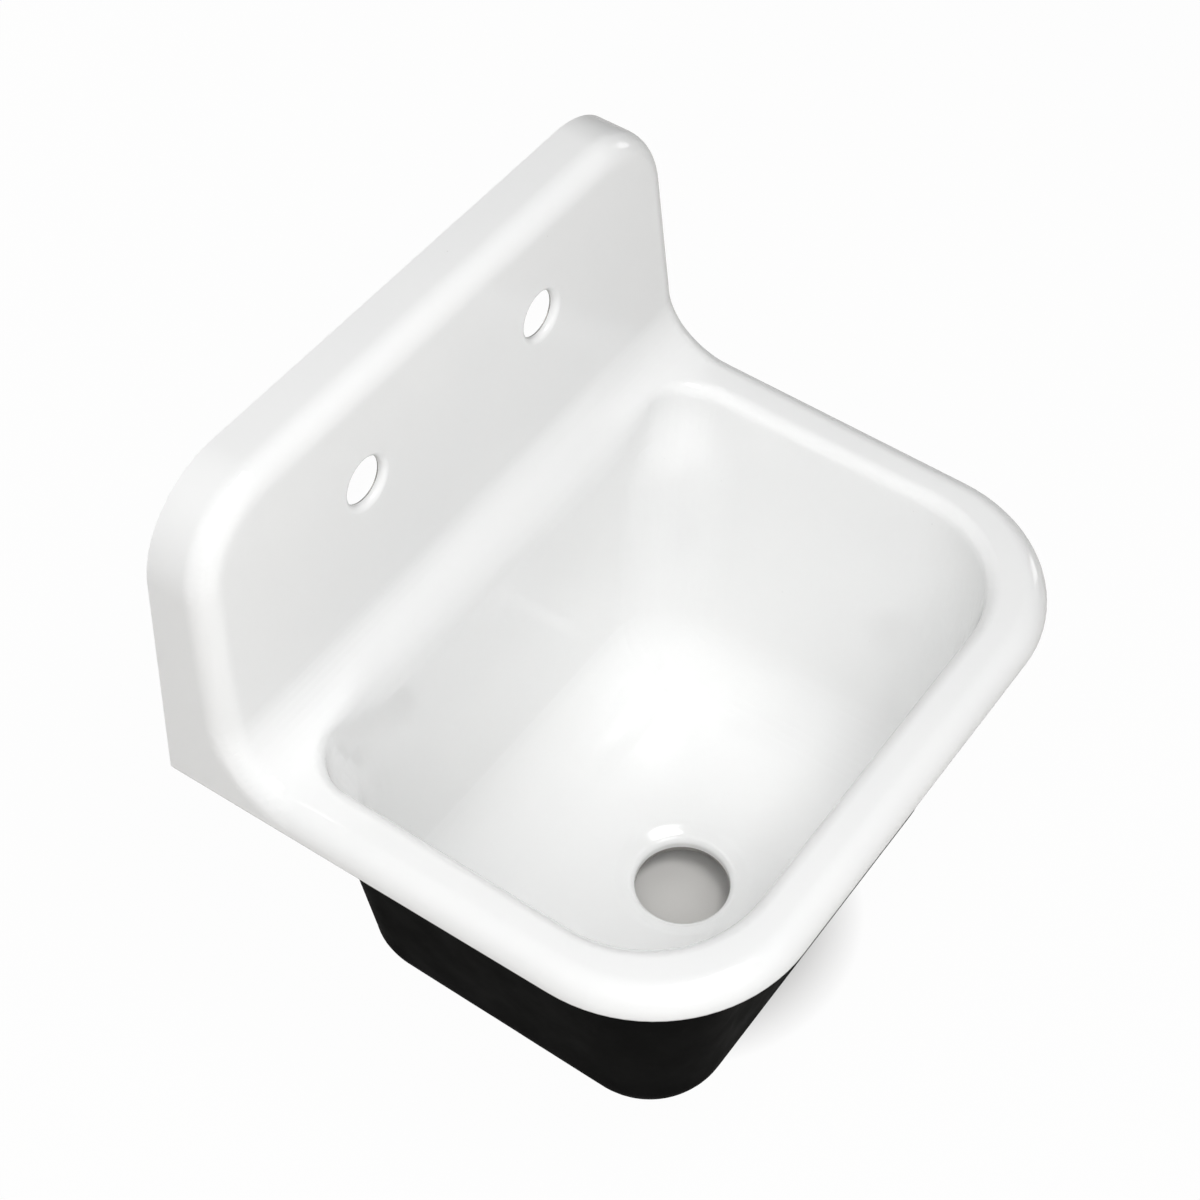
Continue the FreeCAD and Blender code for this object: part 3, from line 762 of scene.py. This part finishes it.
@dataclass
class SinkCasting:
    """The casting: basin, rolled rim, ledge and backsplash in one, with its coats in the order of Coat.

    Its edge and floor shares are how squarely a face looks down, to the wall or up where that counts.
    """

    coats: list[Material]
    rim_underside: float = -167.0 * MM
    wall_plane: float = 0.0
    coat_turn: float = 50.0
    edge_share: float = 0.9
    floor_share: float = 0.99
    tap_hole_x: float = 101.6 * MM
    tap_hole_face: tuple[float, float] = (-50.76 * MM, 9.0 * MM)
    tap_hole_lean: tuple[float, float] = (0.99808, -0.06188)
    tap_hole_radius: float = 19.0 * MM
    tap_coat_depth: float = 6.2 * MM
    drain_foot: tuple[float, float, float] = (0.0, -257.0 * MM, -427.0 * MM)
    drain_radius: float = 39.0 * MM
    drain_coat_depth: float = 9.0 * MM
    sharp_turn: float = 30.0
    hole_reach: float = 4.0 * MM
    rim_reach: float = 5.5 * MM
    rim_round: float = 2.6 * MM
    hole_round: float = 1.5 * MM
    round_steps: int = 4
    crease: float = 38.0

    def holes(self) -> list[Hole]:
        """Lists the two tap holes and the drain."""
        lean = (0.0, *self.tap_hole_lean)
        feet = [(side * self.tap_hole_x, *self.tap_hole_face) for side in Side]
        taps = [Hole(foot, lean, self.tap_hole_radius, self.tap_coat_depth) for foot in feet]
        return [*taps, Hole(self.drain_foot, (0.0, 0.0, -1.0), self.drain_radius, self.drain_coat_depth)]

    def ends_enamel(self, face: Face) -> bool:
        """Tells whether the enamel stops before a face: under the rim and at the wall."""
        centre = face.calc_center_median()
        under_rim = face.normal.z < -self.edge_share and abs(centre.z - self.rim_underside) < MM
        at_wall = face.normal.y > self.edge_share and abs(centre.y - self.wall_plane) < MM
        return under_rim or at_wall

    def is_floor(self, face: Face) -> bool:
        """Tells whether a face is a part of the basin's floor."""
        return face.normal.z > self.floor_share and abs(face.calc_center_median().z - BASIN_FLOOR) < MM

    def coat_faces(self, shape: Mesh) -> None:
        """Gives each face its coat: enamel spreads from the basin's floor as far as the surface flows on."""
        limit = math.radians(self.coat_turn)
        holes = self.holes()
        for face in shape.faces:
            bare = any(hole.is_bare(face) for hole in holes)
            face.material_index = Coat.BARE_IRON if bare else Coat.PAINT
        start = max(filter(self.is_floor, shape.faces), key=lambda face: face.calc_area())
        start.material_index = Coat.ENAMEL
        front = [start]
        while front:
            face = front.pop()
            for edge in face.edges:
                if edge.calc_face_angle(math.pi) > limit:
                    continue
                for other in edge.link_faces:
                    if other.material_index == Coat.PAINT and not self.ends_enamel(other):
                        other.material_index = Coat.ENAMEL
                        front.append(other)

    def at_rim_foot(self, edge: Edge) -> bool:
        """Tells whether an edge runs along the lower edge of the rim."""
        return all(abs(corner.co.z - self.rim_underside) < self.rim_reach for corner in edge.verts)

    def round_off(self, shape: Mesh) -> None:
        """Rounds the edges of the holes and of the rim's foot, as a mould and a coat leave them."""
        holes = self.holes()
        sharp = outer_edges(shape, self.sharp_turn)
        rings = [edge for edge in sharp if any(hole.holds(edge.verts, self.hole_reach) for hole in holes)]
        round_edges(shape, rings, self.hole_round, self.round_steps)
        feet = [edge for edge in outer_edges(shape, self.sharp_turn) if self.at_rim_foot(edge)]
        round_edges(shape, feet, self.rim_round, self.round_steps)

    def build(self) -> None:
        """Builds and dresses the casting."""
        shape = joined_copy("sink_casting")
        for hole in self.holes():
            hole.score(shape)
        self.coat_faces(shape)
        Cavity().soften(shape)
        Ridge().soften(shape)
        self.round_off(shape)
        piece = finish_piece(shape, "enamelled_casting", self.coats, self.crease)
        mount_piece(piece, "sink", "sink_casting")


@dataclass
class WallHangers:
    """The two steel hangers on the wall that the casting hooks over."""

    steel: Material
    edge_round: float = 0.7 * MM
    round_steps: int = 2
    sharp_turn: float = 40.0
    crease: float = 40.0

    def build(self) -> None:
        """Builds and dresses both hangers."""
        for side in Side:
            node = f"wall_hanger_{side.name.lower()}"
            shape = joined_copy(node)
            round_edges(shape, outer_edges(shape, self.sharp_turn), self.edge_round, self.round_steps)
            piece = finish_piece(shape, f"hanger_{side.name.lower()}", [self.steel], self.crease)
            mount_piece(piece, "wall_fixings", node)


@dataclass
class HangerFixings:
    """The four lag screws of the hangers and the washers under their heads.

    Each is built round the Y axis and then moved to its hole. The tooth's shares of the pitch are where it
    rises, where its crest begins and where its crest ends.
    """

    zinc: Material
    across: float = 185.0 * MM
    up: float = 15.0 * MM
    head_face: float = -12.5 * MM
    head_foot: float = -7.0 * MM
    head_flats: float = 13.0 * MM
    head_face_share: float = 0.47
    head_chamfer: float = 30.0
    head_sides: int = 6
    head_cuts: int = 3
    washer_front: float = -7.0 * MM
    washer_back: float = -5.0 * MM
    washer_radius: float = 10.0 * MM
    washer_bore: float = 4.5 * MM
    washer_round: float = 0.35 * MM
    washer_steps: int = 48
    washer_turn: float = 60.0
    round_steps: int = 2
    shank_radius: float = 3.5 * MM
    thread_start: float = 0.0
    thread_end: float = 53.0 * MM
    thread_crest: float = 4.0 * MM
    thread_root: float = 2.9 * MM
    thread_pitch: float = 3.5 * MM
    thread_weld: float = 0.02 * MM
    tooth: tuple[float, float, float] = (0.35, 0.6, 0.7)
    point_length: float = 9.0 * MM
    point_share: float = 0.06
    turn_steps: int = 24
    crease: float = 35.0

    @staticmethod
    def along_y(middle: float) -> Matrix:
        """Lays what stands along Z down along Y, with its middle at a place."""
        return Matrix.Translation((0.0, middle, 0.0)) @ Matrix.Rotation(math.radians(90.0), 4, "X")

    @staticmethod
    def spin(shape: Mesh, outline: list[Corner | Edge], turns: int, steps: int, **more: object) -> None:
        """Sweeps an outline round the Y axis.

        Args:
            shape: The bmesh.
            outline: The outline's corners and edges.
            turns: How many times round.
            steps: Number of steps on the whole way.
            **more: Other settings of Blender's operator.
        """
        middle = (0.0, 0.0, 0.0)
        axis = (0.0, 1.0, 0.0)
        angle = FULL_TURN * turns
        bmesh.ops.spin(shape, geom=outline, cent=middle, axis=axis, angle=angle, steps=steps, **more)

    def head(self, shape: Mesh) -> None:
        """Starts the screw with a hexagon head whose corners are chamfered to a round face."""
        face_radius = self.head_face_share * self.head_flats
        corner_radius = self.head_flats / math.sqrt(3.0)
        slope = math.tan(math.radians(self.head_chamfer))
        bmesh.ops.create_circle(
            shape,
            segments=self.head_sides,
            radius=corner_radius,
            cap_ends=False,
            matrix=self.along_y(0.0),
        )
        bmesh.ops.subdivide_edges(shape, edges=shape.edges[:], cuts=self.head_cuts)
        bmesh.ops.translate(shape, verts=shape.verts[:], vec=(0.0, self.head_foot, 0.0))
        foot = shape.edges[:]
        sides = bmesh.ops.extrude_edge_only(shape, edges=foot)["geom"]
        for corner in of_kind(sides, Corner):
            overhang = math.hypot(corner.co.x, corner.co.z) - face_radius
            corner.co.y = self.head_face + overhang * slope
        chamfer = bmesh.ops.extrude_edge_only(shape, edges=of_kind(sides, Edge))["geom"]
        for corner in of_kind(chamfer, Corner):
            shrink = face_radius / math.hypot(corner.co.x, corner.co.z)
            corner.co = Vector((corner.co.x * shrink, self.head_face, corner.co.z * shrink))
        bmesh.ops.contextual_create(shape, geom=of_kind(chamfer, Edge))
        bmesh.ops.contextual_create(shape, geom=foot)

    def shank(self, shape: Mesh) -> None:
        """Adds the plain shank that passes through the washer and the hanger."""
        length = self.thread_start - self.head_foot
        bmesh.ops.create_cone(
            shape,
            cap_ends=True,
            segments=self.turn_steps,
            radius1=self.shank_radius,
            radius2=self.shank_radius,
            depth=length,
            matrix=self.along_y(self.head_foot + length / 2.0),
        )

    def taper(self, along: float) -> float:
        """Share of the full radius that the thread has at a place along Y: 1, or less near the point."""
        left = (self.thread_end - along) / self.point_length
        return max(self.point_share, min(1.0, left))

    def thread(self, shape: Mesh) -> None:
        """Adds the thread: one tooth swept along a helix and drawn in to a point."""
        rise, crest_start, crest_end = self.tooth
        outline = [
            (self.thread_root, 0.0),
            (self.thread_root, rise),
            (self.thread_crest, crest_start),
            (self.thread_crest, crest_end),
            (self.thread_root, 1.0),
        ]
        before = set(shape.verts)
        corners = []
        for radius, share in outline:
            corners.append(shape.verts.new((radius, self.thread_start + share * self.thread_pitch, 0.0)))
        edges = [shape.edges.new(pair) for pair in zip(corners, corners[1:])]
        turns = int((self.thread_end - self.thread_start) / self.thread_pitch) - 1
        step = (0.0, self.thread_pitch / self.turn_steps, 0.0)
        self.spin(shape, [*corners, *edges], turns, turns * self.turn_steps, dvec=step)
        made = [corner for corner in shape.verts if corner not in before]
        bmesh.ops.remove_doubles(shape, verts=made, dist=self.thread_weld)
        made = [corner for corner in shape.verts if corner not in before]
        rims = each_once(edge for corner in made for edge in corner.link_edges if edge.is_boundary)
        ends = bmesh.ops.holes_fill(shape, edges=rims, sides=0)["faces"]
        for corner in made:
            share = self.taper(corner.co.y)
            corner.co.x *= share
            corner.co.z *= share
        # A fan closes each end, because a face of many corners is split another way from run to run.
        bmesh.ops.poke(shape, faces=ends)

    def screw(self) -> Mesh:
        """Builds one screw."""
        shape = bmesh.new()
        self.head(shape)
        self.shank(shape)
        self.thread(shape)
        bmesh.ops.recalc_face_normals(shape, faces=shape.faces[:])
        return shape

    def washer(self) -> Mesh:
        """Builds one stamped washer with softened edges."""
        shape = bmesh.new()
        outline = [
            (self.washer_bore, self.washer_front),
            (self.washer_radius, self.washer_front),
            (self.washer_radius, self.washer_back),
            (self.washer_bore, self.washer_back),
        ]
        corners = [shape.verts.new((radius, along, 0.0)) for radius, along in outline]
        edges = [shape.edges.new((corner, corners[index - 1])) for index, corner in enumerate(corners)]
        self.spin(shape, [*corners, *edges], 1, self.washer_steps, use_merge=True)
        bmesh.ops.recalc_face_normals(shape, faces=shape.faces[:])
        round_edges(shape, outer_edges(shape, self.washer_turn), self.washer_round, self.round_steps)
        return shape

    def put(self, shape: Mesh, name: str, place: Vector, node: str) -> None:
        """Moves a screw or a washer to its hole and dresses it.

        Args:
            shape: The screw or the washer.
            name: Name of the piece.
            place: Middle of its hole on the wall's plane.
            node: CAD node that it stands for.
        """
        bmesh.ops.translate(shape, verts=shape.verts[:], vec=place)
        mount_piece(finish_piece(shape, name, [self.zinc], self.crease), "wall_fixings", node)

    def build(self) -> None:
        """Builds the four screws and their washers."""
        for side in Side:
            for level, height in (("lower", -self.up), ("upper", self.up)):
                place = Vector((side * self.across, 0.0, height))
                ending = f"{side.name.lower()}_{level}"
                self.put(self.screw(), f"lag_screw_{ending}", place, "hanger_screws")
                self.put(self.washer(), f"washer_{ending}", place, "hanger_washers")


@dataclass(frozen=True)
class Softbox:
    """A soft lamp that faces the sink. Glossy surfaces show it as a glint only if it is mirrored."""

    name: str
    azimuth: float
    elevation: float
    distance: float
    width: float
    height: float
    watts: float
    mirrored: bool = True

    def hang(self, target: Vector) -> None:
        """Hangs the lamp and turns it to the point that it faces."""
        turn = math.radians(self.azimuth)
        rise = math.radians(self.elevation)
        way = Vector((math.sin(turn) * math.cos(rise), -math.cos(turn) * math.cos(rise), math.sin(rise)))
        data = bpy.data.lights.new(self.name, "AREA")
        data.shape = "RECTANGLE"
        data.size = self.width
        data.size_y = self.height
        data.energy = self.watts
        lamp = bpy.data.objects.new(self.name, data)
        lamp.visible_glossy = self.mirrored
        lamp.location = target + way * self.distance
        lamp.rotation_euler = way.to_track_quat("Z", "Y").to_euler()
        bpy.context.scene.collection.objects.link(lamp)


@dataclass
class Studio:
    """The plain room: floor, soft lamps, white surroundings and the camera."""

    target: Vector
    floor_level: float = -0.462
    floor_half: float = 6.0
    floor_pale: Color = (0.7, 0.688, 0.668)
    floor_roughness: float = 0.9
    drain_axis: tuple[float, float] = (0.0, -0.257)
    shadow_reach: tuple[float, float] = (0.075, 0.15)
    backdrop_lift: float = 0.97
    mirrored_backdrop: float = 0.2
    sky_rise: tuple[float, float] = (-0.2, 0.9)
    sky_light: tuple[float, float] = (0.06, 0.12)
    eye: tuple[float, float, float] = (-0.9669, -0.8608, 1.2824)
    aim: tuple[float, float, float] = (0.0072, -0.1698, -0.140)
    lens: float = 75.386
    sensor: float = 36.0

    def backdrop_share(self, board: NodeBoard) -> Socket:
        """How far a ray sees the white backdrop: 1 for camera and transmission rays, less for glossy ones."""
        path = board.add("ShaderNodeLightPath").outputs
        straight = board.math("MAXIMUM", path["Is Camera Ray"], path["Is Transmission Ray"])
        mirrored = board.math("MULTIPLY", path["Is Glossy Ray"], self.mirrored_backdrop)
        return board.math("MAXIMUM", straight, mirrored)

    def lay_floor(self) -> None:
        """Lays a plain pale floor that keeps the soft shadow under the sink."""
        shape = bmesh.new()
        bmesh.ops.create_grid(shape, x_segments=1, y_segments=1, size=self.floor_half)
        bmesh.ops.translate(shape, verts=shape.verts[:], vec=(0.0, 0.0, self.floor_level))
        mesh = bpy.data.meshes.new("floor")
        shape.to_mesh(mesh)
        shape.free()
        floor = bpy.data.objects.new("floor", mesh)
        bpy.context.scene.collection.objects.link(floor)
        mesh.materials.append(self.floor_material())

    def floor_material(self) -> Material:
        """Makes the floor's material: pale, white to the camera away from the drain, clear from below."""
        material = bpy.data.materials.new("pale_floor")
        material.use_nodes = True
        nodes = material.node_tree.nodes
        board = NodeBoard(material.node_tree)
        pale = nodes["Principled BSDF"]
        pale.inputs["Base Color"].default_value = opaque(self.floor_pale)
        pale.inputs["Roughness"].default_value = self.floor_roughness
        pale.inputs["Specular IOR Level"].default_value = 0.0
        place = board.add("ShaderNodeTexCoord").outputs["Object"]
        drain = (*self.drain_axis, self.floor_level)
        away = board.add("ShaderNodeVectorMath", {0: place, 1: drain}, operation="DISTANCE")
        lift = board.span(away.outputs["Value"], *self.shadow_reach, 0.0, self.backdrop_lift)
        share = board.math("MULTIPLY", self.backdrop_share(board), lift)
        white = board.add("ShaderNodeEmission", {"Color": WHITE, "Strength": 1.0}).outputs["Emission"]
        above = board.mix(share, pale.outputs["BSDF"], white)
        clear = board.add("ShaderNodeBsdfTransparent").outputs["BSDF"]
        below = board.add("ShaderNodeNewGeometry").outputs["Backfacing"]
        board.give(board.mix(below, above, clear), nodes["Material Output"].inputs["Surface"])
        return material

    def surround(self) -> None:
        """Surrounds the room with soft light, brighter overhead, and white behind what the camera sees."""
        world = bpy.data.worlds.new("studio_surround")
        world.use_nodes = True
        bpy.context.scene.world = world
        nodes = world.node_tree.nodes
        board = NodeBoard(world.node_tree)
        light = nodes["Background"]
        way = board.add("ShaderNodeTexCoord").outputs["Generated"]
        rise = board.add("ShaderNodeSeparateXYZ", {0: way}).outputs["Z"]
        board.give(WHITE, light.inputs["Color"])
        board.give(board.span(rise, *self.sky_rise, *self.sky_light), light.inputs["Strength"])
        white = board.add("ShaderNodeBackground", {"Color": WHITE, "Strength": 1.0}).outputs[0]
        whole = board.mix(self.backdrop_share(board), light.outputs[0], white)
        board.give(whole, nodes["World Output"].inputs["Surface"])

    def hang_lamps(self) -> None:
        """Hangs the lamps: wide ones for an even light, small ones for glints, and one for the back.

        Each has a name, an azimuth and an elevation in degrees, a distance, a width and a height in metres,
        and a power in watts.
        """
        lamps = [
            Softbox("overhead_softbox", 0.0, 70.0, 2.6, 1.0, 1.0, 27.5),
            Softbox("camera_softbox", -55.0, 46.0, 2.6, 1.8, 1.8, 31.0, mirrored=False),
            Softbox("left_softbox", -95.0, 32.0, 2.6, 1.8, 1.8, 8.0, mirrored=False),
            Softbox("front_softbox", -15.0, 18.0, 2.6, 1.6, 1.6, 6.5, mirrored=False),
            Softbox("right_glint", 74.0, 13.0, 2.2, 0.3, 0.6, 1.5),
            Softbox("front_glint", -38.0, 9.0, 2.2, 0.5, 0.12, 1.2),
            Softbox("back_softbox", 180.0, 5.0, 2.6, 1.6, 1.0, 36.0),
        ]
        for lamp in lamps:
            lamp.hang(self.target)

    def set_camera(self) -> None:
        """Sets the camera at the photograph's viewing angle."""
        data = bpy.data.cameras.new("photo_camera")
        data.sensor_fit = "HORIZONTAL"
        data.sensor_width = self.sensor
        data.lens = self.lens
        camera = bpy.data.objects.new("photo_camera", data)
        eye = Vector(self.eye)
        camera.location = eye
        camera.rotation_euler = (Vector(self.aim) - eye).to_track_quat("-Z", "Y").to_euler()
        bpy.context.scene.collection.objects.link(camera)
        bpy.context.scene.camera = camera

    def build(self) -> None:
        """Builds the whole room."""
        self.lay_floor()
        self.surround()
        self.hang_lamps()
        self.set_camera()
        bpy.context.scene.view_settings.view_transform = "Standard"


def main() -> None:
    """Builds the sub-assemblies with their finishes, and then the room."""
    logging.basicConfig(level=logging.INFO, format="%(name)s: %(message)s")
    effects = EffectGroups()
    coats = [finish().material(effects) for finish in (EnamelFinish, PaintFinish, BareIronFinish)]
    SinkCasting(coats).build()
    WallHangers(GalvanisedFinish().material(effects)).build()
    HangerFixings(ZincFinish().material(effects)).build()
    low, high = CAD_BOX
    Studio(target=(Vector(low) + Vector(high)) / 2.0).build()


if __name__ == "__main__":
    main()
